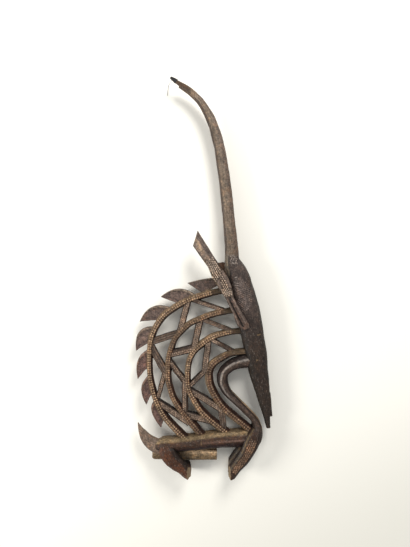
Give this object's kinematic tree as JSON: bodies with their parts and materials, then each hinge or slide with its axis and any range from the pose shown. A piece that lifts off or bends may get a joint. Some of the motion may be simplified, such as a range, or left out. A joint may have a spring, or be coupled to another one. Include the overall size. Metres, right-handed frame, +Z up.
{
  "type": "ciwara crest mask",
  "caption": "Carved wooden antelope crest with long swept horns, an openwork mane of curved bars and flat points, an arched neck and broken legs, lying on its side.",
  "frame": {"origin": "middle of the bounding box's underside, on the surface that the crest's far side lies on", "axes": "+X from the tail towards the face, +Y from the feet towards the horn tips, +Z up, out of the near side"},
  "size_m": [0.2997, 0.8722, 0.06],
  "materials": {
    "wood": "dark worn patina, dry to softly waxed, with pale raw breaks",
    "thread": "matte twisted thread"
  },
  "bodies": {
    "root": {"crest": "wood", "tip_binding": "thread", "thread_end": "thread"}
  },
  "joints": []
}
